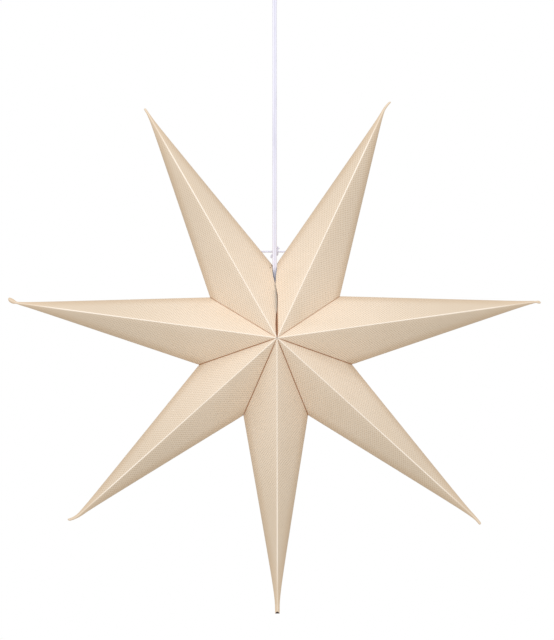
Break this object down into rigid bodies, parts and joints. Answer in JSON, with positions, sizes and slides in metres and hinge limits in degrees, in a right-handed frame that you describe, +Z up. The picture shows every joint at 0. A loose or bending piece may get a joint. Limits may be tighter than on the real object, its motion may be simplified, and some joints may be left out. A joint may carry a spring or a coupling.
{
  "type": "paper star pendant lamp",
  "caption": "Hanging star lamp of folded, embossed paper points on a flat white cord, with a ceiling hook, a sliding canopy cup, a lampholder and a globe bulb inside.",
  "frame": {"origin": "on the ceiling, in the middle of the mounting plate's upper face, straight above the cord", "axes": "+Z up along the cord, front of the star towards -Y, +X to the right as seen from the front"},
  "size_m": [0.604, 0.1514, 0.7937],
  "materials": {
    "paper": "embossed uncoated paper, warm off-white",
    "string": "white cotton string",
    "cord_sheath": "white flexible sheath",
    "core_sheath": "coloured core insulation",
    "canopy_plastic": "white, smooth",
    "holder_plastic": "white, fine satin",
    "clamp_plastic": "white, satin",
    "steel": "bright zinc",
    "brass": "bare",
    "bulb_glass": "clear",
    "bulb_metal": "nickel plated",
    "bulb_black": "black glass ring",
    "filament": "yellow phosphor coat"
  },
  "bodies": {
    "ceiling_fitting": {"ceiling_plate": "steel", "ceiling_hook": "steel", "hook_nut": "steel"},
    "hanging_ring": {"hook_ring": "steel"},
    "cord": {"clamp_back": "clamp_plastic", "clamp_front": "clamp_plastic", "clamp_screws": "steel", "cord_cores": "core_sheath", "terminal_block": "clamp_plastic", "block_barrels": "brass", "block_screws": "steel", "pendant_cord": "cord_sheath"},
    "canopy": {"canopy_cup": "canopy_plastic", "canopy_screw": "canopy_plastic"},
    "star": {"point_upper_right": "paper", "point_right": "paper", "point_lower_right": "paper", "point_bottom": "paper", "point_lower_left": "paper", "point_left": "paper", "point_upper_left": "paper", "tie_string": "string", "string_knot": "string", "wire_hanger": "steel", "holder_cap": "holder_plastic", "holder_body": "holder_plastic", "holder_insert": "holder_plastic", "holder_leads": "core_sheath", "terminal_screws": "steel", "grip_screw": "clamp_plastic", "screw_socket": "brass", "contact_tongue": "brass"},
    "bulb": {"bulb_glass": "bulb_glass", "bulb_base": "bulb_metal", "bulb_insulator": "bulb_black", "bulb_contact": "bulb_metal", "bulb_stem": "bulb_glass", "bulb_filaments": "filament", "filament_wires": "bulb_metal"}
  },
  "joints": [
    {"name": "swing_front_back", "type": "hinge", "parent": "ceiling_fitting", "child": "hanging_ring", "pos_m": [0, 0, -0.02675], "axis": [1, 0, 0], "range_deg": [-5, 5]},
    {"name": "swing_side", "type": "hinge", "parent": "hanging_ring", "child": "cord", "pos_m": [0, 0, -0.0355], "axis": [0, 1, 0], "range_deg": [-5, 5]},
    {"name": "canopy_slide", "type": "slide", "parent": "cord", "child": "canopy", "axis": [0, 0, -1], "range_m": [0, 0.15]},
    {"name": "star_twist", "type": "hinge", "parent": "cord", "child": "star", "pos_m": [0, 0, -0.4318], "axis": [0, 0, 1], "range_deg": [-180, 180]},
    {"name": "bulb_out", "type": "slide", "parent": "star", "child": "bulb", "axis": [0, 0, -1], "range_m": [0, 0.015]}
  ]
}
